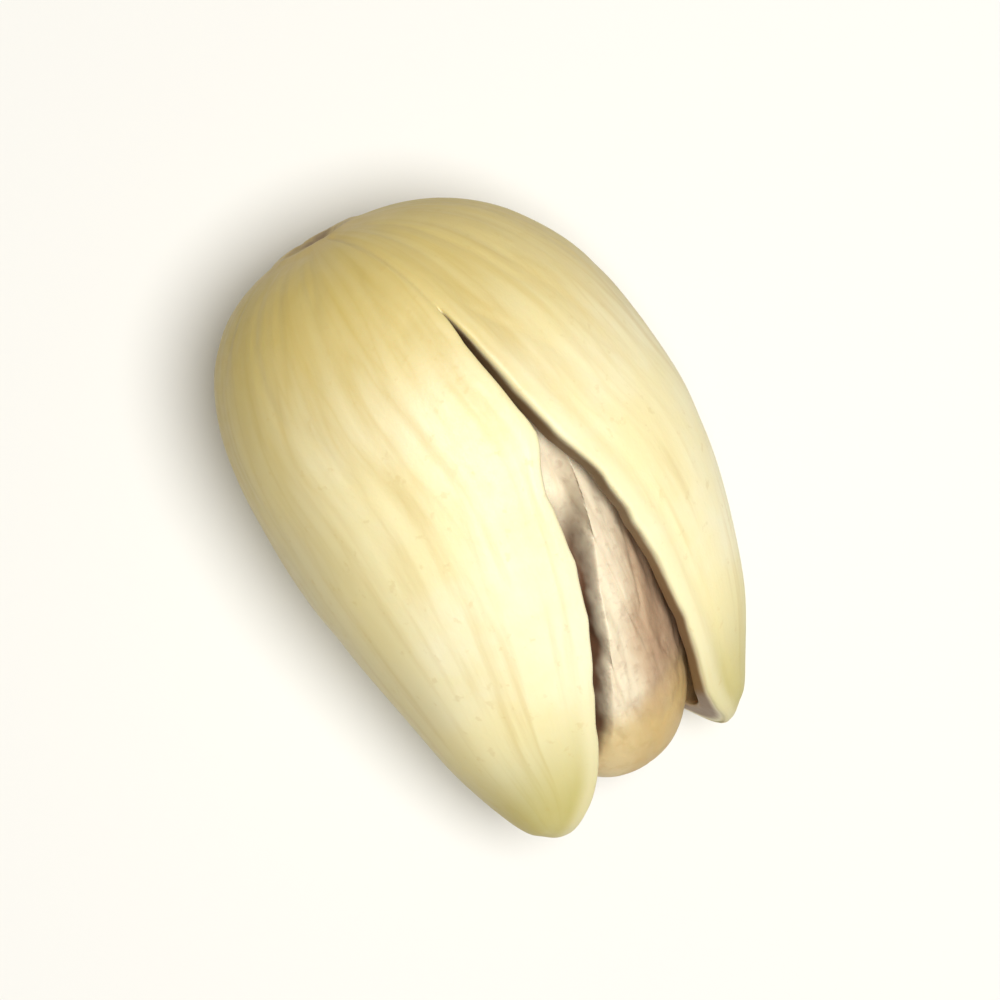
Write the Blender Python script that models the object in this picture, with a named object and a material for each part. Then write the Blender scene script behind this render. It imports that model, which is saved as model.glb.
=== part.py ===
"""A pistachio in its shell: two hard valves joined at the stem end, gaping at the tip, and the kernel inside.

In the nut's own axes X runs from the stem end to the open tip, Y across the two valves and Z from the
dorsal suture to the ventral one. The nut then lies on a small flat spot on its back, a little rolled.
"""

import math

import bmesh
import bpy
from mathutils import Matrix, Vector

# The shell, in metres. Its outline is fullest a little towards the stem end.
LENGTH = 0.0196
THICKNESS = 0.0131  # across the valves, as if the shell were closed
HEIGHT = 0.0133  # from suture to suture
FULLEST = 0.40  # where it is widest, as a share of the length from the stem end
STEM_BLUNTNESS = 2.5  # 2 would make the stem half an ellipse
TAPER = (0.40, 0.24)  # how much slimmer than an ellipse the tip half is, across and upright
TAPER_START = 0.25
STEM_BOW = 0.00075  # how far each end bends towards the left valve
TIP_BOW = 0.00055
WALL = 0.00095
STEM_WALL = 0.0016
TIP_WALL = 0.0010
SUTURE_RIDGE = 0.00012
RIDGE_SPREAD = 0.16  # radians round the axis
SHELL_SEGMENTS = 48
SHELL_RINGS = 36

# The split: pairs of a share of the length, from the stem end, and a distance there.
VENTRAL_GAPE = (
    (0.15, 0.0),
    (0.22, 0.0002),
    (0.40, 0.0005),
    (0.50, 0.0014),
    (0.60, 0.0022),
    (0.80, 0.0037),
    (0.92, 0.0044),
    (1.0, 0.0060),
)
DORSAL_GAPE = ((0.55, 0.0), (0.70, 0.0012), (0.85, 0.0034), (1.0, 0.0060))
WANDER = ((0.0, 0.0), (0.25, -0.00015), (0.50, 0.00042), (0.70, 0.0003), (1.0, -0.00035))
TIP_BLEND = 0.6  # radius on the unit sphere inside which the two gapes become one

# The kernel, which lies on the bottom of the cavity and has slid down to the open tip.
KERNEL_LENGTH = 0.0164
KERNEL_THICKNESS = 0.0087
KERNEL_HEIGHT = 0.0100
KERNEL_TAPER = (0.22, 0.28)
KERNEL_BLUNTNESS = 2.4  # of its tip half; 2 would make it half an ellipse
KERNEL_KEEL = 0.30  # how much narrower its ventral side is than a round one
KERNEL_GROOVE = 0.00022
GROOVE_SPREAD = 0.12  # radians round the axis
KERNEL_PLACE = Vector((0.00120, 0.00008, 0.00020))
KERNEL_SEGMENTS = 36
KERNEL_RINGS = 24

# How the nut lies.
ROLL = math.radians(18)  # turns the split towards the right valve
PITCH = math.radians(9)  # lowers the tip
FLAT_DEPTH = 0.00018  # what the flat spot takes off the shell's lowest point
CUTTER_SIZE = 0.008

SHELL_COLOUR = (0.84, 0.74, 0.47, 1)
SHELL_ROUGHNESS = 0.45
KERNEL_COLOUR = (0.47, 0.30, 0.22, 1)
KERNEL_ROUGHNESS = 0.5
SHARP_ANGLE = math.radians(40)  # edges over this stay sharp, such as the lips of the split


def fullness(place, taper):
    """How wide the outline is here, as a share of its fullest; the axis runs from -1 to 1 at the tip."""
    middle = 2 * FULLEST - 1
    if place < middle:
        t = min(1, (middle - place) / (1 + middle))
        return (1 - t**STEM_BLUNTNESS) ** (1 / STEM_BLUNTNESS)
    t = min(1, (place - middle) / (1 - middle))
    return math.sqrt(1 - t * t) * (1 - taper * t * t / (t + TAPER_START))


def nut_point(unit, half):
    """The unit sphere's point on a nut with these half sizes."""
    radius = math.hypot(unit.y, unit.z)
    if radius < 1e-6:
        return Vector((half.x * unit.x, 0, 0))
    across, upright = (fullness(unit.x, taper) / radius for taper in TAPER)
    return Vector((half.x * unit.x, half.y * unit.y * across, half.z * unit.z * upright))


def along(table, share):
    """The table's value at this share of the length, on a smooth curve through its entries."""
    share = min(table[-1][0], max(table[0][0], share))
    after = next(i for i in range(1, len(table)) if share <= table[i][0])
    (left, low), (right, high) = table[after - 1], table[after]
    before_left = table[max(after - 2, 0)]
    beyond_right = table[min(after + 1, len(table) - 1)]
    rise_left = (high - before_left[1]) / (right - before_left[0])
    rise_right = (beyond_right[1] - low) / (beyond_right[0] - left)
    t = (share - left) / (right - left)
    bend_left = rise_left * (right - left) * t * (1 - t) ** 2
    bend_right = rise_right * (right - left) * t * t * (1 - t)
    return low + (high - low) * t * t * (3 - 2 * t) + bend_left - bend_right


def bowed(point):
    """The point moved sideways with the bend of the nut's long axis."""
    share = point.x / LENGTH + 0.5
    bow, reach = (STEM_BOW, FULLEST) if share < FULLEST else (TIP_BOW, 1 - FULLEST)
    return point - Vector((0, bow * ((share - FULLEST) / reach) ** 2, 0))


def near_suture(unit, spread):
    """1 on either suture, falling to 0 within about twice this angle of it."""
    angle = math.atan2(abs(unit.y), abs(unit.z))
    return math.exp(-((angle / spread) ** 2))


def gape_at(point, unit):
    """How far apart the two valves stand here."""
    share = point.x / LENGTH + 0.5
    ventral, dorsal = along(VENTRAL_GAPE, share), along(DORSAL_GAPE, share)
    radius = max(1e-6, math.hypot(unit.y, unit.z))
    turn = unit.z / radius
    if unit.x > 0:
        turn *= min(1, radius / TIP_BLEND)
    return dorsal + (ventral - dorsal) * (1 + turn) / 2


def on_split(unit):
    """Whether this point of the unit sphere lies on a suture where that is open."""
    start = VENTRAL_GAPE[0][0] if unit.z >= 0 else DORSAL_GAPE[0][0]
    return abs(unit.y) < 1e-5 and (unit.x + 1) / 2 > start - 1e-4


def side_of(vert):
    """-1 in the left valve, 1 in the right one, and 0 where they are still joined."""
    across = sum(face.calc_center_median().y for face in vert.link_faces)
    return 0 if abs(across) < 1e-5 else math.copysign(1, across)


def shape_valves(verts, half, middle, ridge):
    """Moves a split unit sphere's points onto one face of the shell wall, with its valves apart."""
    sides = [side_of(vert) for vert in verts]
    for vert, side in zip(verts, sides):
        unit = vert.co.copy()
        turn = along(WANDER, (unit.x + 1) / 2) / (HEIGHT / 2)
        turned = Matrix.Rotation(-turn, 3, "X") @ unit
        point = nut_point(turned, half) + Vector((middle, 0, 0))
        point.z += ridge * near_suture(unit, RIDGE_SPREAD) * unit.z
        apart = side * gape_at(point, unit) / 2
        vert.co = bowed(point) + Vector((0, apart, 0))


def unit_sphere(segments, rings):
    """A mesh of the unit sphere with its poles on X and a meridian on each suture."""
    mesh = bmesh.new()
    poles_on_x = Matrix.Rotation(math.radians(90), 4, "Y")
    bmesh.ops.create_uvsphere(
        mesh, u_segments=segments, v_segments=rings, radius=1, matrix=poles_on_x
    )
    return mesh


def finished_object(name, mesh, colour, roughness, collection, parent):
    """A smooth-shaded object of the mesh with a material of its own."""
    data = bpy.data.meshes.new(name)
    mesh.to_mesh(data)
    mesh.free()
    data.shade_smooth()
    data.set_sharp_from_angle(angle=SHARP_ANGLE)
    material = bpy.data.materials.new(name)
    material.use_nodes = True
    shader = material.node_tree.nodes["Principled BSDF"]
    shader.inputs["Base Color"].default_value = colour
    shader.inputs["Roughness"].default_value = roughness
    shader.inputs["Metallic"].default_value = 0
    data.materials.append(material)
    made = bpy.data.objects.new(name, data)
    made.parent = parent
    collection.objects.link(made)
    return made


def make_shell(collection, nut):
    """Both valves as one wall: an outer and an inner egg, slit alike and joined round the slit's edge."""
    mesh = unit_sphere(SHELL_SEGMENTS, SHELL_RINGS)
    slit = [edge for edge in mesh.edges if all(on_split(vert.co) for vert in edge.verts)]
    bmesh.ops.split_edges(mesh, edges=slit)
    outer = mesh.verts[:]
    copied = bmesh.ops.duplicate(mesh, geom=mesh.verts[:] + mesh.edges[:] + mesh.faces[:])
    inner = [item for item in copied["geom"] if isinstance(item, bmesh.types.BMVert)]
    outer_half = Vector((LENGTH, THICKNESS, HEIGHT)) / 2
    inner_half = outer_half - Vector(((STEM_WALL + TIP_WALL) / 2, WALL, WALL))
    shape_valves(outer, outer_half, 0, SUTURE_RIDGE)
    shape_valves(inner, inner_half, (STEM_WALL - TIP_WALL) / 2, 0)
    rims = [edge for edge in mesh.edges if edge.is_boundary]
    bmesh.ops.bridge_loops(mesh, edges=rims)
    bmesh.ops.recalc_face_normals(mesh, faces=mesh.faces)
    return finished_object("shell", mesh, SHELL_COLOUR, SHELL_ROUGHNESS, collection, nut)


def make_kernel(collection, nut):
    """The seed in its skin: narrower on its ventral side, with a shallow groove where its halves meet."""
    mesh = unit_sphere(KERNEL_SEGMENTS, KERNEL_RINGS)
    for vert in mesh.verts:
        unit = vert.co.copy()
        towards_tip = max(0, min(unit.x, 0.999))
        blunt = (1 - towards_tip**KERNEL_BLUNTNESS) ** (1 / KERNEL_BLUNTNESS)
        blunt /= math.sqrt(1 - towards_tip**2)
        across, upright = (blunt * (1 - taper * unit.x) for taper in KERNEL_TAPER)
        across *= 1 - KERNEL_KEEL * max(0, unit.z) ** 2
        upright -= KERNEL_GROOVE / (KERNEL_HEIGHT / 2) * near_suture(unit, GROOVE_SPREAD)
        point = Vector(
            (
                KERNEL_LENGTH / 2 * unit.x,
                KERNEL_THICKNESS / 2 * unit.y * across,
                KERNEL_HEIGHT / 2 * unit.z * upright,
            )
        )
        vert.co = bowed(point + KERNEL_PLACE)
    return finished_object("kernel", mesh, KERNEL_COLOUR, KERNEL_ROUGHNESS, collection, nut)


def lay_down(nut, shell):
    """Rolls the nut onto its back, its box centred over the origin and the flat spot's plane at z = 0."""
    nut.rotation_euler = (-ROLL, PITCH, 0)
    turned = nut.rotation_euler.to_matrix()
    points = [turned @ vert.co for vert in shell.data.vertices]
    low = Vector([min(axis) for axis in zip(*points)])
    high = Vector([max(axis) for axis in zip(*points)])
    nut.location = (-(low.x + high.x) / 2, -(low.y + high.y) / 2, -low.z - FLAT_DEPTH)


def cut_flat_spot(shell, cutters):
    """Takes the small flat spot off the shell's lowest point."""
    bpy.ops.mesh.primitive_cube_add(size=CUTTER_SIZE, location=(0, 0, -CUTTER_SIZE / 2))
    cutter = bpy.context.object
    cutter.name = "flat_spot_cutter"
    bpy.context.collection.objects.unlink(cutter)
    cutters.objects.link(cutter)
    cutter.hide_render = True
    cutter.display_type = "WIRE"
    cut = shell.modifiers.new("flat_spot", "BOOLEAN")
    cut.operation = "DIFFERENCE"
    cut.object = cutter


def main():
    for thing in list(bpy.data.objects):
        bpy.data.objects.remove(thing)
    collection = bpy.data.collections.new("pistachio_in_shell")
    cutters = bpy.data.collections.new("cutters")
    bpy.context.scene.collection.children.link(collection)
    bpy.context.scene.collection.children.link(cutters)
    nut = bpy.data.objects.new("nut", None)
    collection.objects.link(nut)
    shell = make_shell(collection, nut)
    make_kernel(collection, nut)
    lay_down(nut, shell)
    cut_flat_spot(shell, cutters)


main()
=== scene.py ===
import math

import bmesh
import bpy
import numpy as np
from mathutils import Euler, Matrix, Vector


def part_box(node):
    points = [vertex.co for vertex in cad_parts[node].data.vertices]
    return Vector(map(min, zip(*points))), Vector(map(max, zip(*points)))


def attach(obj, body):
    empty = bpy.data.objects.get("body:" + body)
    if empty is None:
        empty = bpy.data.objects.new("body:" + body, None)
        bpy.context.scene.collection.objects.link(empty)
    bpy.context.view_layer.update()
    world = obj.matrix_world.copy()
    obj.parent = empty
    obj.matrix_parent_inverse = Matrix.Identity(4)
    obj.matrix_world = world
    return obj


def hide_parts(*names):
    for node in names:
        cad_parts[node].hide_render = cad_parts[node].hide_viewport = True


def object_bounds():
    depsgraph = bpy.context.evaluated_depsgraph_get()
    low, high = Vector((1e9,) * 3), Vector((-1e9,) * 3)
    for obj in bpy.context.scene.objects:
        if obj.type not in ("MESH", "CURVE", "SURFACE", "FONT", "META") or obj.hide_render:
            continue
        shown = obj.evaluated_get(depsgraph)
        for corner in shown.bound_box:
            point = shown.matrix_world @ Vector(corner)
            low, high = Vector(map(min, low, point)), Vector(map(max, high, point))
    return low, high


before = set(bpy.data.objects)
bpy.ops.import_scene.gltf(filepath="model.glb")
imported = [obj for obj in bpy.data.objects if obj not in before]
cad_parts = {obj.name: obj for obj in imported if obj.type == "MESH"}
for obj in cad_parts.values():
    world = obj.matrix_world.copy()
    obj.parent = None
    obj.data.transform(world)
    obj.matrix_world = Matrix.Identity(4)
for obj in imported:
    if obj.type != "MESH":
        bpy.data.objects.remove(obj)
cad_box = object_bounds()

# The shell: two hard, dry valves that grew as one round the seed. They have parted along their seam, from
# the tip back towards the stem end, where they are still one piece. It is a bone-like wood, cream outside,
# with fine veins that fan out of the scar where the stalk was.
SHELL_SIZE = (0.0196, 0.0131, 0.0133)  # stem end to tip, across the valves as if shut, seam to seam
FULLEST = 0.40  # where the outline is widest, as a share of the length from the stem end
STEM_BLUNTNESS = 2.5  # 2 would make the stem half an ellipse
TAPERS = (0.40, 0.24)  # how much slimmer than an ellipse the tip half is, across and upright
TAPER_START = 0.25
STEM_BOW = 0.00075  # how far each end bends towards the left valve
TIP_BOW = 0.00055
WALL = 0.00095
STEM_WALL = 0.0016
TIP_WALL = 0.0010
SEAM_RIDGE = 0.00012
SEAM_RIDGE_SPREAD = 0.16  # radians round the nut

# The split: pairs of a share of the length, from the stem end, and a distance there.
BELLY_GAPE = (
    (0.15, 0.0),
    (0.22, 0.0002),
    (0.40, 0.0005),
    (0.50, 0.0014),
    (0.60, 0.0022),
    (0.80, 0.0037),
    (0.92, 0.0044),
    (1.0, 0.0060),
)
BACK_GAPE = ((0.55, 0.0), (0.70, 0.0012), (0.85, 0.0034), (1.0, 0.0060))
WANDER = ((0.0, 0.0), (0.25, -0.00015), (0.50, 0.00042), (0.70, 0.0003), (1.0, -0.00035))
CHIP = ((0.39, 0.0), (0.455, 0.0005), (0.54, 0.0003), (0.67, 0.0))  # what the left lip has lost
CHIP_REACH = 0.0014
TIP_BLEND = 0.6
LIP_ROUND = 0.00018  # radius of the edges of the split
LIP_RAGGED = 0.000025

SEGMENTS_ROUND = 288
RINGS_ALONG = 140
LIP_STEPS = 8
CROWDING = 0.5  # draws the meridians together at the two seams, where the edges need them
APART = 0.05  # how far the halves of the unit sphere are held apart while its two skins are joined
INNER_SKIN = 0.8  # size of the inner skin meanwhile
RAGGED_POINTS = 45
RAGGED_SEED = 7


def fullness(place, taper):
    """How wide the outline is here, as a share of its fullest; the axis runs from -1 to 1 at the tip."""
    middle = 2 * FULLEST - 1
    stem = np.clip((middle - place) / (1 + middle), 0, 1)
    tip = np.clip((place - middle) / (1 - middle), 0, 1)
    slim = np.sqrt(1 - tip**2) * (1 - taper * tip**2 / (tip + TAPER_START))
    return np.where(place < middle, (1 - stem**STEM_BLUNTNESS) ** (1 / STEM_BLUNTNESS), slim)


def nut(unit, size):
    """Points of the unit sphere, one a row, on a nut of this size."""
    radius = np.hypot(unit[:, 1], unit[:, 2]) + 1e-9
    across, upright = (fullness(unit[:, 0], taper) / radius for taper in TAPERS)
    return unit * np.stack([np.ones(len(unit)), across, upright], 1) * np.array(size) / 2


def along(table, share):
    """The table's values at these shares of the length, on a smooth curve through its entries."""
    places, values = np.array(table).T
    reach = np.append(places[1:], places[-1]) - np.append(places[0], places[:-1])
    rise = (np.append(values[1:], values[-1]) - np.append(values[0], values[:-1])) / reach
    share = np.clip(share, places[0], places[-1])
    i = np.clip(np.searchsorted(places, share) - 1, 0, len(places) - 2)
    width = places[i + 1] - places[i]
    t = (share - places[i]) / width
    bend = width * t * (1 - t) * (rise[i] * (1 - t) - rise[i + 1] * t)
    return values[i] + (values[i + 1] - values[i]) * t * t * (3 - 2 * t) + bend


def ease(values, low, high):
    """0 up to low, 1 from high, and an S-curve between."""
    t = np.clip((values - low) / (high - low), 0, 1)
    return t * t * (3 - 2 * t)


def near_seam(unit, spread):
    """1 on either seam and 0 a few times this angle from it."""
    angle = np.arctan2(np.abs(unit[:, 1]), np.abs(unit[:, 2]))
    return np.exp(-((angle / spread) ** 2))


def bowed(points):
    """The points moved sideways with the bend of the nut's long axis."""
    share = points[:, 0] / SHELL_SIZE[0] + 0.5
    towards_tip = share > FULLEST
    reach = np.where(towards_tip, 1 - FULLEST, FULLEST)
    bend = np.where(towards_tip, TIP_BOW, STEM_BOW) * ((share - FULLEST) / reach) ** 2
    return points - np.outer(bend, (0, 1, 0))


def gape(share, unit):
    """How far apart the valves stand at each point."""
    belly, back = along(BELLY_GAPE, share), along(BACK_GAPE, share)
    radius = np.hypot(unit[:, 1], unit[:, 2]) + 1e-9
    turn = unit[:, 2] / radius
    turn = np.where(unit[:, 0] > 0, turn * np.minimum(1, radius / TIP_BLEND), turn)
    return back + (belly - back) * (1 + turn) / 2


def wandering(unit):
    """The unit sphere's points turned about its long axis, so that the seam wanders a little."""
    turn = along(WANDER, (unit[:, 0] + 1) / 2) / (SHELL_SIZE[2] / 2)
    across = unit[:, 1] * np.cos(turn) + unit[:, 2] * np.sin(turn)
    upright = unit[:, 2] * np.cos(turn) - unit[:, 1] * np.sin(turn)
    return np.stack([unit[:, 0], across, upright], 1)


def unit_sphere(segments, rings):
    """A bmesh unit sphere, poles on X, with its meridians crowded towards the seams."""
    sphere = bmesh.new()
    upright = Euler((0, math.radians(90), 0)).to_matrix().to_4x4()
    bmesh.ops.create_uvsphere(
        sphere, u_segments=segments, v_segments=rings, radius=1, matrix=upright
    )
    for vert in sphere.verts:
        radius, angle = math.hypot(vert.co.y, vert.co.z), math.atan2(vert.co.y, vert.co.z)
        angle -= CROWDING / 2 * math.sin(2 * angle)
        vert.co.y, vert.co.z = radius * math.sin(angle), radius * math.cos(angle)
    return sphere


def split_wall():
    """The wall as a mesh, with each vertex's place on the unit sphere, its side and its depth in the wall."""
    wall = unit_sphere(SEGMENTS_ROUND, RINGS_ALONG)

    def is_open(place):
        start = (BELLY_GAPE if place.z >= 0 else BACK_GAPE)[0][0]
        return abs(place.y) < 1e-4 and (place.x + 1) / 2 > start - 1e-4

    slit = [edge for edge in wall.edges if all(is_open(vert.co) for vert in edge.verts)]
    bmesh.ops.split_edges(wall, edges=slit)
    places = wall.verts.layers.float_vector.new("place")
    sides = wall.verts.layers.float.new("side")
    depths = wall.verts.layers.float.new("depth")
    for vert in wall.verts:
        vert[places] = vert.co
        across = sum(face.calc_center_median().y for face in vert.link_faces)
        vert[sides] = 0 if abs(across) < 1e-4 else math.copysign(1, across)
    copied = bmesh.ops.duplicate(wall, geom=wall.verts[:] + wall.edges[:] + wall.faces[:])
    for vert in wall.verts:
        vert.co.y += APART * vert[sides]
    for vert in copied["geom"]:
        if isinstance(vert, bmesh.types.BMVert):
            vert[depths] = 1
            vert.co *= INNER_SKIN
    rims = [edge for edge in wall.edges if edge.is_boundary]
    bmesh.ops.bridge_loops(wall, edges=rims)
    through = [edge for edge in wall.edges if edge.verts[0][depths] != edge.verts[1][depths]]
    bmesh.ops.subdivide_edges(wall, edges=through, cuts=LIP_STEPS - 1)
    bmesh.ops.recalc_face_normals(wall, faces=wall.faces)
    mesh = bpy.data.meshes.new("shell")
    wall.to_mesh(mesh)
    wall.free()
    return mesh, read(mesh, "place", 3), read(mesh, "side"), read(mesh, "depth")


def read(mesh, name, width=1):
    """A mesh attribute's values, one row a vertex where it is a vector."""
    values = np.empty(len(mesh.vertices) * width, np.float32)
    mesh.attributes[name].data.foreach_get("vector" if width == 3 else "value", values)
    return values.reshape(-1, width).astype(float) if width > 1 else values.astype(float)


def write(mesh, name, values):
    """Stores one number, or one vector, for each vertex."""
    kind, field = ("FLOAT_VECTOR", "vector") if values.ndim == 2 else ("FLOAT", "value")
    stored = mesh.attributes.new(name, kind, "POINT")
    stored.data.foreach_set(field, values.astype(np.float32).ravel())


def rounded_lips(points, down, side, from_seam, depth, gap):
    """The points with the corners of the split's edges turned to a radius."""
    thickness = np.linalg.norm(down, axis=1)
    on_lip = (depth > 0.001) & (depth < 0.999)
    along_lip = np.minimum(depth, 1 - depth) * thickness
    q = np.where(on_lip, along_lip, -from_seam)
    r = LIP_ROUND * ease(gap, 0, 0.0003) + 1e-9
    turn = np.radians(45) * (np.clip(q / r, -1, 1) + 1)
    back_off = np.where(np.abs(q) < r, r * (1 - np.sin(turn)) - np.clip(-q, 0, None), 0)
    sink = np.where(np.abs(q) < r, r * (1 - np.cos(turn)) - np.clip(q, 0, None), 0)
    into_wall = down / thickness[:, None] * np.where(depth < 0.5, 1, -1)[:, None]
    return points + into_wall * sink[:, None] + np.outer(side * back_off, (0, 1, 0))


def ragged(share, side, gap):
    """Small unevenness of the lips, different on each valve, once they are apart."""
    draw = np.random.default_rng(RAGGED_SEED)
    places = np.linspace(0, 1, RAGGED_POINTS)
    drawn = (np.stack([places, draw.normal(0, LIP_RAGGED, RAGGED_POINTS)], 1) for _ in range(2))
    left, right = (along(table, share) for table in drawn)
    return np.where(side < 0, left, right) * ease(gap, 0.0001, 0.0006)


def shell_mesh():
    """The whole wall at its real shape, in the nut's own axes, with what its finish needs to know."""
    mesh, place, side, depth = split_wall()
    turned = wandering(place)
    outer = nut(turned, SHELL_SIZE)
    outer[:, 2] += SEAM_RIDGE * near_seam(place, SEAM_RIDGE_SPREAD) * place[:, 2]
    hollow = np.array(SHELL_SIZE) - (STEM_WALL + TIP_WALL, 2 * WALL, 2 * WALL)
    inner = nut(turned, hollow) + ((STEM_WALL - TIP_WALL) / 2, 0, 0)
    down = inner - outer
    points = outer + down * depth[:, None]
    share = points[:, 0] / SHELL_SIZE[0] + 0.5
    gap = gape(share, place)
    angle = np.arctan2(place[:, 1], place[:, 2])
    around = np.hypot(outer[:, 1], outer[:, 2])
    from_seam = around * np.abs(np.sin(angle))
    round_scar = np.where(place[:, 0] < 0, around, 1)
    chipped = along(CHIP, share) * (side < 0) * (place[:, 2] > 0) * ease(from_seam, CHIP_REACH, 0)
    uneven = ragged(share, side, gap) * ease(from_seam, 0.0006, 0)
    points = bowed(points) + np.outer(side * (gap / 2 + chipped + uneven), (0, 1, 0))
    points = rounded_lips(points, down, side, from_seam, depth, gap)
    mesh.vertices.foreach_set("co", points.astype(np.float32).ravel())
    write(mesh, "along", share)
    write(mesh, "from_seam", from_seam)
    write(mesh, "round_scar", round_scar)
    write(mesh, "flank", np.abs(np.sin(angle)))
    write(mesh, "gap", gap)
    write(mesh, "grain", np.stack([np.cos(angle), np.sin(angle), share], 1))
    mesh.attributes.remove(mesh.attributes["place"])
    mesh.attributes.remove(mesh.attributes["side"])
    return mesh


class Reading:
    """One output in a node tree. Sums on it become Math nodes, and node() adds any other node."""

    def __init__(self, tree, socket=None):
        self.tree = tree
        self.socket = socket

    def node(self, kind, settings=None, sockets=None, output=0):
        """Adds a node of this kind, settings first, and returns one of its outputs."""
        made = self.tree.nodes.new(kind)
        for name, setting in (settings or {}).items():
            setattr(made, name, setting)
        for name, given in (sockets or {}).items():
            if isinstance(given, Reading):
                self.tree.links.new(given.socket, made.inputs[name])
            else:
                made.inputs[name].default_value = given
        return Reading(self.tree, made.outputs[output])

    def math(self, operation, *values):
        return self.node("ShaderNodeMath", {"operation": operation}, dict(enumerate(values)))

    def __add__(self, other):
        return self.math("ADD", self, other)

    def __sub__(self, other):
        return self.math("SUBTRACT", self, other)

    def __rsub__(self, other):
        return self.math("SUBTRACT", other, self)

    def __mul__(self, other):
        return self.math("MULTIPLY", self, other)

    def __pow__(self, other):
        return self.math("POWER", self, other)

    __radd__ = __add__
    __rmul__ = __mul__

    def rise(self, low, high):
        """0 up to low, 1 from high, and an S-curve between; falls where low is over high."""
        if low > high:
            return 1 - self.rise(high, low)
        ends = {"Value": self, "From Min": low, "From Max": high}
        return self.node("ShaderNodeMapRange", {"interpolation_type": "SMOOTHSTEP"}, ends)

    def peak(self, middle, spread):
        """1 at the middle, 0 this far either side of it."""
        return (self - middle).math("ABSOLUTE", self - middle).rise(spread, 0)

    def blend(self, first, second):
        """The first colour where this is 0 and the second where it is 1."""
        colours = {0: self, 6: first, 7: second}
        return self.node("ShaderNodeMix", {"data_type": "RGBA"}, colours, 2)

    def noise(self, scale, stretch=(1, 1, 1), shift=(0, 0, 0), detail=2):
        """Cloudy noise read at this vector, stretched and shifted first."""
        scaled = self.node("ShaderNodeVectorMath", {"operation": "MULTIPLY"}, {0: self, 1: stretch})
        moved = self.node("ShaderNodeVectorMath", {"operation": "ADD"}, {0: scaled, 1: shift})
        return self.node("ShaderNodeTexNoise", {}, {"Vector": moved, "Scale": scale, "Detail": detail})

    def ridges(self, scale, sharpness, **how):
        """Thin winding lines, 1 on each and falling to 0 beside it."""
        cloud = self.noise(scale, **how)
        away = (cloud * 2 - 1).math("ABSOLUTE", cloud * 2 - 1)
        return (1 - away) ** sharpness


def carved(mesh, name, inputs, height, material):
    """The mesh with its surface raised by height(reading, inputs), through a Geometry Nodes tree."""
    tree = bpy.data.node_groups.new(name, "GeometryNodeTree")
    tree.interface.new_socket("Geometry", in_out="INPUT", socket_type="NodeSocketGeometry")
    tree.interface.new_socket("Geometry", in_out="OUTPUT", socket_type="NodeSocketGeometry")
    keys = {}
    for label in inputs:
        socket = tree.interface.new_socket(label, in_out="INPUT", socket_type="NodeSocketFloat")
        keys[label] = socket.identifier
    start = tree.nodes.new("NodeGroupInput")
    end = tree.nodes.new("NodeGroupOutput")
    here = Reading(tree)
    settings = {label: Reading(tree, start.outputs[label]) for label in inputs}
    normal = here.node("GeometryNodeInputNormal")
    lift = {"Vector": normal, "Scale": height(here, settings)}
    offset = here.node("ShaderNodeVectorMath", {"operation": "SCALE"}, lift)
    surface = {"Geometry": Reading(tree, start.outputs["Geometry"]), "Offset": offset}
    raised = here.node("GeometryNodeSetPosition", {}, surface)
    real = here.node("GeometryNodeRealizeInstances", {}, {"Geometry": raised})
    done = here.node("GeometryNodeSetMaterial", {}, {"Geometry": real, "Material": material})
    tree.links.new(done.socket, end.inputs["Geometry"])
    piece = bpy.data.objects.new(name, mesh)
    bpy.context.scene.collection.objects.link(piece)
    modifier = piece.modifiers.new(name, "NODES")
    modifier.node_group = tree
    for label, value in inputs.items():
        modifier[keys[label]] = value
    graph = bpy.context.evaluated_depsgraph_get()
    result = bpy.data.meshes.new_from_object(piece.evaluated_get(graph))
    piece.modifiers.clear()
    piece.data = result
    result.shade_smooth()
    return piece


def stored(here, name, kind="FLOAT"):
    """An attribute of the mesh, read in Geometry Nodes."""
    return here.node("GeometryNodeInputNamedAttribute", {"data_type": kind}, {"Name": name})


def shell_relief(here, size):
    """How far the outside stands out: lumps, veins from the stem scar, and the band along each seam."""
    along, from_seam, depth = (stored(here, name) for name in ("along", "from_seam", "depth"))
    gap, round_scar = stored(here, "gap"), stored(here, "round_scar")
    grain = stored(here, "grain", "FLOAT_VECTOR")
    position = here.node("GeometryNodeInputPosition")
    outside = depth.rise(0.10, 0.0)
    lumps = (position.noise(170, detail=1) - 0.5) * 2 * size["Lump height"]
    fade = along.rise(0.62, 0.10) * round_scar.rise(0.0012, 0.0045)
    fine = grain.ridges(9, 4, stretch=(1, 1, 0.6), detail=4) * fade * size["Vein depth"]
    main = grain.ridges(2.6, 14, stretch=(1, 1, 0.9), shift=(3.1, 0.4, 0)) * fade
    main = main * size["Furrow depth"]
    band = from_seam.rise(0.0008, 0.0004) * size["Band height"]
    furrow = from_seam.peak(0.0010, 0.0004) * size["Band height"] * 0.8
    closed = gap.rise(0.00012, 0.0) * from_seam.rise(0.00022, 0.0) * size["Seam depth"]
    edge = (round_scar + position.noise(900) * 0.0005) - 0.00025
    pitted = 0.6 + position.noise(2200, detail=3) * 0.8
    scar = edge.peak(0.0013, 0.0004) * 0.5 - edge.rise(0.0011, 0.0007) * pitted
    scar = scar * size["Scar depth"]
    away_from_scar = edge.rise(0.0010, 0.0018)
    seams = (band - furrow - closed) * away_from_scar
    return (lumps + seams - (fine + main) * away_from_scar + scar) * outside


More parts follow.
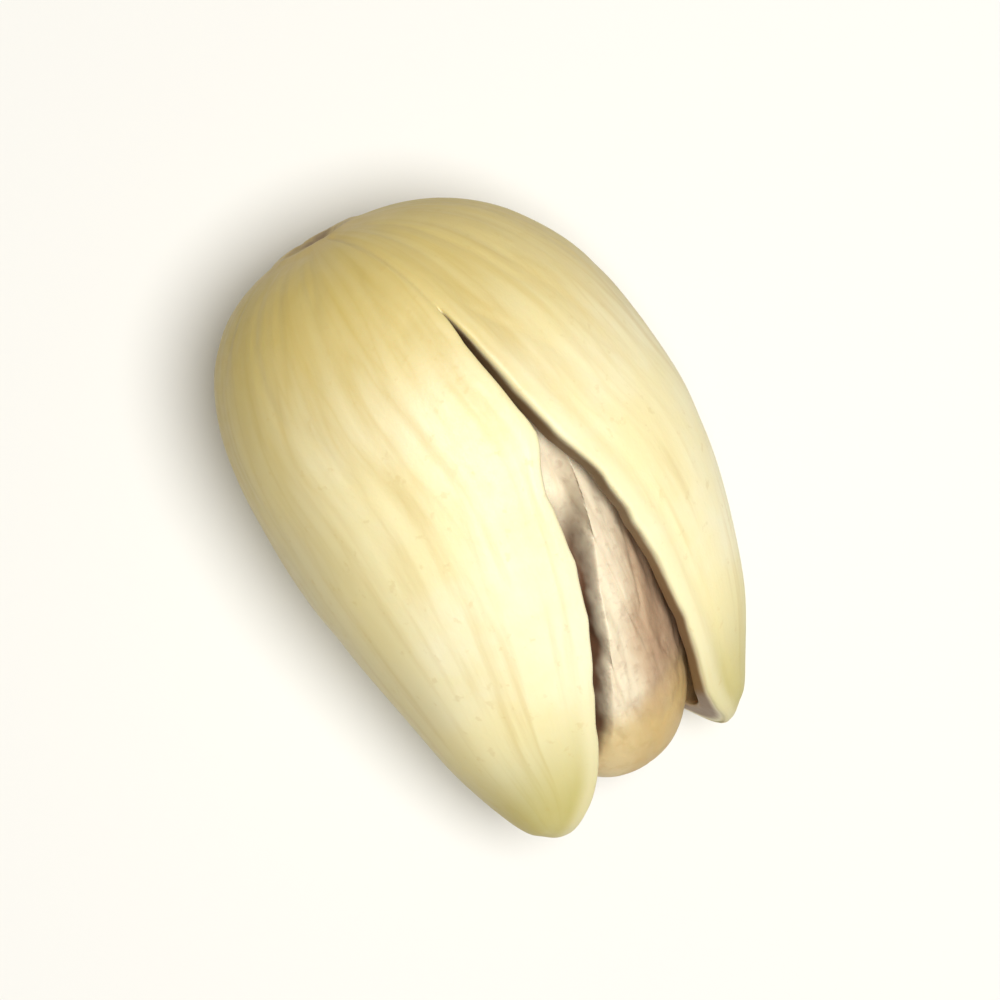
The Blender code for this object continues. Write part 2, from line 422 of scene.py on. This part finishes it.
SHELL_RELIEF = {
    "Lump height": 0.00007,
    "Vein depth": 0.00002,
    "Furrow depth": 0.00005,
    "Band height": 0.00004,
    "Seam depth": 0.00008,
    "Scar depth": 0.00016,
}
CREAM = (0.890, 0.795, 0.450, 1)
PALE_CREAM = (0.920, 0.855, 0.580, 1)
TAN = (0.600, 0.430, 0.140, 1)
# Partly the tips' own yellow-green tint, partly painted shade where they round away from the lamp.
TIP_TINT_AND_SHADE = (0.470, 0.400, 0.060, 1)
# Painted shade: darker olive for the flanks, where the shell turns sideways from the lamp.
FLANK_SHADE_OLIVE = (0.490, 0.370, 0.070, 1)
# Partly the stem end's own stain, partly painted shade where it turns away from the lamp.
STEM_STAIN_AND_SHADE = (0.560, 0.420, 0.100, 1)
SCAR_BROWN = (0.300, 0.185, 0.070, 1)
# Painted shade: brown for the faces of the split's lips, where they fall into shadow.
LIP_SHADE_BROWN = (0.260, 0.155, 0.068, 1)
LINING = (0.470, 0.320, 0.160, 1)
LINING_STAIN = (0.260, 0.140, 0.070, 1)


def new_finish(name):
    """A material with a Principled shader, and a reading to build its nodes from."""
    material = bpy.data.materials.new(name)
    material.use_nodes = True
    return material, material.node_tree.nodes["Principled BSDF"], Reading(material.node_tree)


def attribute(here, name, output="Fac"):
    """An attribute of the mesh, read in a material."""
    return here.node("ShaderNodeAttribute", {"attribute_name": name}, output=output)


def feed(shader, **readings):
    """Links each reading to the shader's socket of that name."""
    for name, reading in readings.items():
        reading.tree.links.new(reading.socket, shader.inputs[name.replace("_", " ")])


def shell_finish():
    """Dry, faintly waxy nutshell: mottled cream, olive at its ends (partly stain, partly painted shade) and
    painted shade in olive on its flanks, brown lining, and lips pale at the edge with painted shade in brown
    deeper into the split.
    """
    material, shader, here = new_finish("dry_shell")
    along, from_seam = attribute(here, "along"), attribute(here, "from_seam")
    depth, round_scar = attribute(here, "depth"), attribute(here, "round_scar")
    grain, flank = attribute(here, "grain", "Vector"), attribute(here, "flank")
    place = here.node("ShaderNodeTexCoord", output="Object")
    clouds = place.noise(230, detail=4)
    specks = place.noise(2600, detail=3)
    streaks = grain.noise(9, stretch=(1, 1, 0.35), detail=5)
    veins = grain.ridges(7, 5, stretch=(1, 1, 0.45))
    outside = clouds.rise(0.38, 0.66).blend(CREAM, PALE_CREAM)
    outside = (streaks.rise(0.48, 0.75) * 0.35).blend(outside, TAN)
    outside = (veins * along.rise(0.7, 0.05) * 0.45).blend(outside, TAN)
    # Darker olive towards the stem end: partly its own stain, partly painted shade.
    outside = (along.rise(0.42, 0.02) * (0.40 + clouds * 0.75)).blend(outside, STEM_STAIN_AND_SHADE)
    # Olive towards the tip: partly its own tint, partly painted shade.
    outside = (along.rise(0.72, 0.98) * (0.3 + clouds * 0.9)).blend(outside, TIP_TINT_AND_SHADE)
    outside = (from_seam.rise(0.0009, 0.0003) * along.rise(0.15, 0.5) * 0.45).blend(outside, PALE_CREAM)
    # Painted shade: the flanks, turned sideways from the lamp, are tinted darker olive.
    outside = (flank.rise(0.80, 0.97) * (0.15 + clouds * 0.50)).blend(outside, FLANK_SHADE_OLIVE)
    outside = (specks.rise(0.62, 0.74) * 0.22).blend(outside, TAN)
    fibres = place.noise(1500, detail=4)
    ragged = round_scar + clouds * 0.0012 + fibres * 0.0005 - 0.0008
    outside = (ragged.rise(0.0032, 0.0012) * 0.55).blend(outside, TAN)
    outside = (ragged.rise(0.0015, 0.0009) * fibres.rise(0.30, 0.62)).blend(outside, SCAR_BROWN)
    stains = place.noise(420, detail=5, shift=(0.3, 0, 0)).rise(0.5, 0.7)
    lining = (stains * 0.6).blend(LINING, LINING_STAIN)
    # Lips: pale at their outer edge, then painted shade in brown further into the split, with a mottled
    # boundary.
    into_split = depth + place.noise(800, detail=4) * 0.3 - 0.15
    edge = into_split.rise(0.04, 0.42).blend(PALE_CREAM, LIP_SHADE_BROWN)
    colour = depth.rise(0.04, 0.16).blend(outside, edge)
    colour = depth.rise(0.75, 1.0).blend(colour, lining)
    roughness = 0.40 + specks * 0.22 - depth.rise(0.9, 1.0) * 0.12
    height = streaks * 0.5 + specks * 0.35 + place.noise(7000, detail=2) * 0.15
    bump = {"Strength": 0.55, "Distance": 0.00006, "Height": height}
    feed(shader, Base_Color=colour, Roughness=roughness, Normal=here.node("ShaderNodeBump", {}, bump))
    shader.inputs["Subsurface Weight"].default_value = 0.12
    shader.inputs["Subsurface Radius"].default_value = (1.0, 0.55, 0.25)
    shader.inputs["Subsurface Scale"].default_value = 0.0007
    return material


ROLL = math.radians(18)  # turns the split towards the right valve
PITCH = math.radians(9)  # lowers the tip
FLAT_DEPTH = 0.00018


def lying_down(piece, place=None):
    """Turns a piece as the nut lies, and returns how that piece was moved so that others can follow."""
    points = np.empty(len(piece.data.vertices) * 3, np.float32)
    piece.data.vertices.foreach_get("co", points)
    turned = points.reshape(-1, 3) @ np.array(Euler((-ROLL, PITCH, 0)).to_matrix()).T
    if place is None:
        low, high = turned.min(0), turned.max(0)
        box = np.array(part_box("shell"))
        fit = min((box[1] - box[0]) / (high - low - (0, 0, FLAT_DEPTH)))
        middle = (low + high) / 2 * fit
        place = (fit, np.array([box[:, 0].mean(), box[:, 1].mean(), 0]) - middle)
        place[1][2] = -low[2] * fit - FLAT_DEPTH
    turned = turned * place[0] + place[1]
    turned[:, 2] = np.maximum(turned[:, 2], 0)
    piece.data.vertices.foreach_set("co", turned.astype(np.float32).ravel())
    piece.data.update()
    return place


shell = carved(shell_mesh(), "shell_visual", SHELL_RELIEF, shell_relief, shell_finish())
laid = lying_down(shell)
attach(shell, "root")
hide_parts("shell")

# The kernel: the seed in its thin, wrinkled skin, pale and dusty on its crest and tan at its tip, with a
# shallow groove where its two halves meet. Its crest is painted lighter near the left lip, where the light
# falls, and painted shade darkens it in mauve-brown towards the right lip and in its creases, and in brown
# where its left shoulder has sunk. It has dried smaller than the hollow, so it lies loose in it.
KERNEL_SIZE = (0.0164, 0.0087, 0.0100)
KERNEL_TAPERS = (0.22, 0.28)
KERNEL_BLUNTNESS = 2.4  # of its tip half
KERNEL_KEEL = 0.30  # how much narrower its belly side is than a round one
KERNEL_GROOVE = 0.00022
GROOVE_SPREAD = 0.12  # radians round the kernel
KERNEL_PLACE = (0.00120, 0.00008, 0.00020)
SHOULDER_DROP = 0.0013  # how far the left shoulder has sunk below the ridge that shows in the split
SHOULDER_WIDTH = 0.00038
SHOULDER_OFFSET = 0.00050  # how far inside the left lip it starts
SHOULDER_SPAN = (0.40, 0.55, 0.85, 0.97)  # where along the shell it sets in and dies out
SHOULDER_WAVES = 47  # radians of its unevenness along the shell
KERNEL_SEGMENTS = 300
KERNEL_RINGS = 180
KERNEL_RELIEF = {
    "Lump height": 0.00012,
    "Wrinkle depth": 0.00007,
    "Crease depth": 0.00009,
    "Fold depth": 0.00005,
}
SKIN_PINK = (0.740, 0.560, 0.350, 1)
# Partly a pale dusty bloom, partly painted light on the strip by the left lip.
SKIN_BLOOM_AND_LIGHT = (0.975, 0.885, 0.650, 1)
# The skin's own mauve, also used as painted shade towards the right lip and in the creases.
SKIN_MAUVE_AND_SHADE = (0.310, 0.175, 0.105, 1)
TIP_TAN = (0.590, 0.420, 0.150, 1)
# Painted shade: dark brown for the sunk shoulder in the gap beside the left lip.
SHOULDER_SHADE_BROWN = (0.150, 0.072, 0.036, 1)


def kernel_mesh():
    """The kernel at its real shape, in the nut's own axes."""
    seed = unit_sphere(KERNEL_SEGMENTS, KERNEL_RINGS)
    mesh = bpy.data.meshes.new("kernel")
    seed.to_mesh(mesh)
    seed.free()
    unit = read(mesh, "position", 3)
    towards_tip = np.clip(unit[:, 0], 0, 0.999)
    blunt = (1 - towards_tip**KERNEL_BLUNTNESS) ** (1 / KERNEL_BLUNTNESS)
    blunt /= np.sqrt(1 - towards_tip**2)
    across, upright = (blunt * (1 - taper * unit[:, 0]) for taper in KERNEL_TAPERS)
    across *= 1 - KERNEL_KEEL * np.clip(unit[:, 2], 0, None) ** 2
    upright -= KERNEL_GROOVE / (KERNEL_SIZE[2] / 2) * near_seam(unit, GROOVE_SPREAD)
    points = unit * np.stack([np.ones(len(unit)), across, upright], 1) * np.array(KERNEL_SIZE) / 2
    share = (points[:, 0] + KERNEL_PLACE[0]) / SHELL_SIZE[0] + 0.5
    left_lip = along(WANDER, share) - along(BELLY_GAPE, share) / 2
    shoulder = left_lip + SHOULDER_OFFSET + 0.3 * along(CHIP, share)
    sunk = ease(points[:, 1] - shoulder, SHOULDER_WIDTH, 0) * ease(unit[:, 2], 0.15, 0.7)
    uneven = 0.85 + 0.15 * np.sin(share * SHOULDER_WAVES)
    starts, full, fading, ends = SHOULDER_SPAN
    reach = ease(share, starts, full) * ease(share, ends, fading)
    points[:, 2] -= SHOULDER_DROP * sunk * uneven * reach
    bowed_shoulder = bowed(np.stack([points[:, 0], shoulder, points[:, 2]], 1) + KERNEL_PLACE)[:, 1]
    points = bowed(points + KERNEL_PLACE)
    mesh.vertices.foreach_set("co", points.astype(np.float32).ravel())
    from_stem = (unit[:, 0] + 1) / 2
    write(mesh, "along", from_stem)
    write(mesh, "from_shoulder", points[:, 1] - bowed_shoulder)
    write(mesh, "belly", ease(unit[:, 2], 0.2, 0.6))
    write(mesh, "grain", np.stack([unit[:, 1], unit[:, 2], from_stem], 1))
    return mesh


def kernel_relief(here, size):
    """Lumps, and the lengthwise wrinkles of a skin that has dried on the seed."""
    grain, place = stored(here, "grain", "FLOAT_VECTOR"), stored(here, "along")
    position = here.node("GeometryNodeInputPosition")
    lumps = (position.noise(260, detail=2) - 0.5) * 2 * size["Lump height"]
    wrinkles = grain.ridges(3.5, 3, stretch=(1, 1, 0.9), detail=3) * size["Wrinkle depth"]
    creases = grain.ridges(2.2, 14, stretch=(1, 1, 0.6), shift=(1.7, 0, 2)) * size["Crease depth"]
    fold = (place + position.noise(350) * 0.05 - 0.025).peak(0.855, 0.022) * size["Fold depth"]
    return lumps - (wrinkles + creases) * place.rise(0.97, 0.84) - fold


def kernel_finish():
    """Papery seed skin: a dusty pale crest painted lighter near the left lip, mauve with painted shade
    towards the right lip and in its creases, tan at its tip, and painted shade in brown where it has sunk.
    """
    material, shader, here = new_finish("seed_skin")
    grain, along = attribute(here, "grain", "Vector"), attribute(here, "along")
    place = here.node("ShaderNodeTexCoord", output="Object")
    streaks = grain.noise(5, stretch=(1, 1, 0.5), detail=6)
    creases = grain.ridges(3.5, 3, stretch=(1, 1, 0.9), detail=3)
    specks = place.noise(3200, detail=3)
    from_shoulder, from_belly = attribute(here, "from_shoulder"), attribute(here, "belly")
    # Painted light and shade: lighter near the left lip, darker mauve towards the right lip, whose shadow
    # falls there.
    towards_lip_shade = from_shoulder + streaks * 0.0016 - 0.0008
    colour = (towards_lip_shade.rise(0.0019, 0.0009) * 0.85 + streaks * 0.2).blend(SKIN_PINK, SKIN_BLOOM_AND_LIGHT)
    colour = (towards_lip_shade.rise(0.0009, 0.0021) * 0.55).blend(colour, SKIN_MAUVE_AND_SHADE)
    # Painted shade: darker mauve along the hollows of the wrinkles.
    colour = (creases * along.rise(0.97, 0.84) * 0.35).blend(colour, SKIN_MAUVE_AND_SHADE)
    colour = (specks.rise(0.5, 0.75) * 0.30).blend(colour, SKIN_MAUVE_AND_SHADE)
    tip = (along + place.noise(500, detail=4) * 0.16 - 0.08).rise(0.81, 0.92)
    colour = (tip * 0.75).blend(colour, TIP_TAN)
    # Painted shade: the sunk shoulder by the left lip, in the lip's shadow, is painted dark brown.
    sunk = (from_shoulder + place.noise(900) * 0.0003 - 0.00015).rise(0.00028, 0.00010) * from_belly
    colour = (sunk * along.rise(0.42, 0.56)).blend(colour, SHOULDER_SHADE_BROWN)
    height = streaks * 0.6 + specks * 0.4
    bump = {"Strength": 0.7, "Distance": 0.00008, "Height": height}
    roughness = 0.38 + specks * 0.3
    feed(shader, Base_Color=colour, Roughness=roughness, Normal=here.node("ShaderNodeBump", {}, bump))
    shader.inputs["Subsurface Weight"].default_value = 0.10
    shader.inputs["Subsurface Scale"].default_value = 0.0006
    return material


kernel = carved(kernel_mesh(), "kernel_visual", KERNEL_RELIEF, kernel_relief, kernel_finish())
lying_down(kernel, laid)
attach(kernel, "root")
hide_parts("kernel")

# The table it lies on: plain matt, very slightly warm white, with one soft lamp almost overhead, a little
# towards the tip and the right valve, weak warm light from all round, and a camera straight above.
TABLE_SIZE = 3.0
TABLE_WHITE = (0.79, 0.78, 0.75, 1)
SURROUND = (1.0, 0.91, 0.66, 1)
SURROUND_STRENGTH = 0.15
LAMP_DISTANCE = 0.35
LAMP_HEIGHT = math.radians(80)  # above the table
LAMP_BEARING = math.radians(48)  # round from +X
LAMP_SIZE = 0.16
LAMP_POWER = 1.42
LENS = 135
SENSOR = 36
FIELD = 0.0305  # how much of the table the picture spans
CAMERA_TURN = math.radians(59)

sheet = bmesh.new()
bmesh.ops.create_grid(sheet, x_segments=1, y_segments=1, size=TABLE_SIZE / 2)
table_mesh = bpy.data.meshes.new("table")
sheet.to_mesh(table_mesh)
sheet.free()
table = bpy.data.objects.new("table", table_mesh)
bpy.context.scene.collection.objects.link(table)
table_finish, table_shader, _ = new_finish("matt_white")
table_shader.inputs["Base Color"].default_value = TABLE_WHITE
table_shader.inputs["Roughness"].default_value = 0.7
table_mesh.materials.append(table_finish)

world = bpy.data.worlds.new("pale_surround")
world.use_nodes = True
world.node_tree.nodes["Background"].inputs["Color"].default_value = SURROUND
world.node_tree.nodes["Background"].inputs["Strength"].default_value = SURROUND_STRENGTH
bpy.context.scene.world = world

lamp_data = bpy.data.lights.new("soft_lamp", "AREA")
lamp_data.shape = "DISK"
lamp_data.size = LAMP_SIZE
lamp_data.energy = LAMP_POWER
lamp = bpy.data.objects.new("soft_lamp", lamp_data)
lamp.rotation_euler = (0, math.pi / 2 - LAMP_HEIGHT, LAMP_BEARING)
flat = LAMP_DISTANCE * math.cos(LAMP_HEIGHT)
lamp.location = (
    flat * math.cos(LAMP_BEARING),
    flat * math.sin(LAMP_BEARING),
    LAMP_DISTANCE * math.sin(LAMP_HEIGHT),
)
bpy.context.scene.collection.objects.link(lamp)

low, high = cad_box
camera_data = bpy.data.cameras.new("camera")
camera_data.lens = LENS
camera_data.sensor_width = SENSOR
camera_data.clip_start = 0.005
camera = bpy.data.objects.new("camera", camera_data)
middle = (low + high) / 2
camera.location = (middle.x, middle.y, middle.z + FIELD * LENS / SENSOR)
camera.rotation_euler = (0, 0, CAMERA_TURN)
bpy.context.scene.collection.objects.link(camera)
bpy.context.scene.camera = camera
bpy.context.scene.view_settings.view_transform = "Standard"
